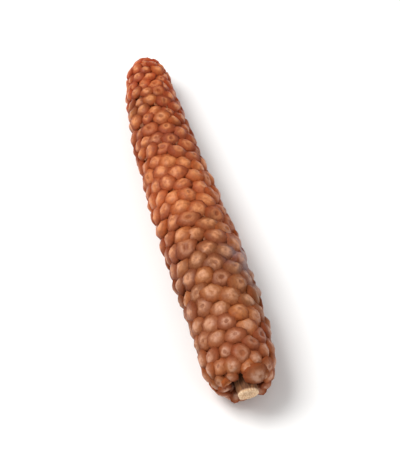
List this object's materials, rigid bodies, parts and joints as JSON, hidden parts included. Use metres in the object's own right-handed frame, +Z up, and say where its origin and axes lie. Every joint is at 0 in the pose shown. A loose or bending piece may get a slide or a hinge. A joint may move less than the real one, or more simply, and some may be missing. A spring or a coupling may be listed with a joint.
{
  "type": "long pepper",
  "caption": "Dried long pepper: a slim blunt fruiting spike lying flat, covered in small grown-together berries, with a broken stalk stub at its thick end.",
  "frame": {"origin": "on the surface that the spike lies on, below the middle of the whole", "axes": "+X along the spike from the stalk to the tip, +Z up"},
  "size_m": [0.047, 0.0086, 0.008],
  "materials": {
    "dried_berries": "dry fruit skin with a faint waxy sheen",
    "dry_stalk": "matte and fibrous"
  },
  "bodies": {
    "root": {"fruit_spike": "dried_berries", "stalk": "dry_stalk"}
  },
  "joints": []
}
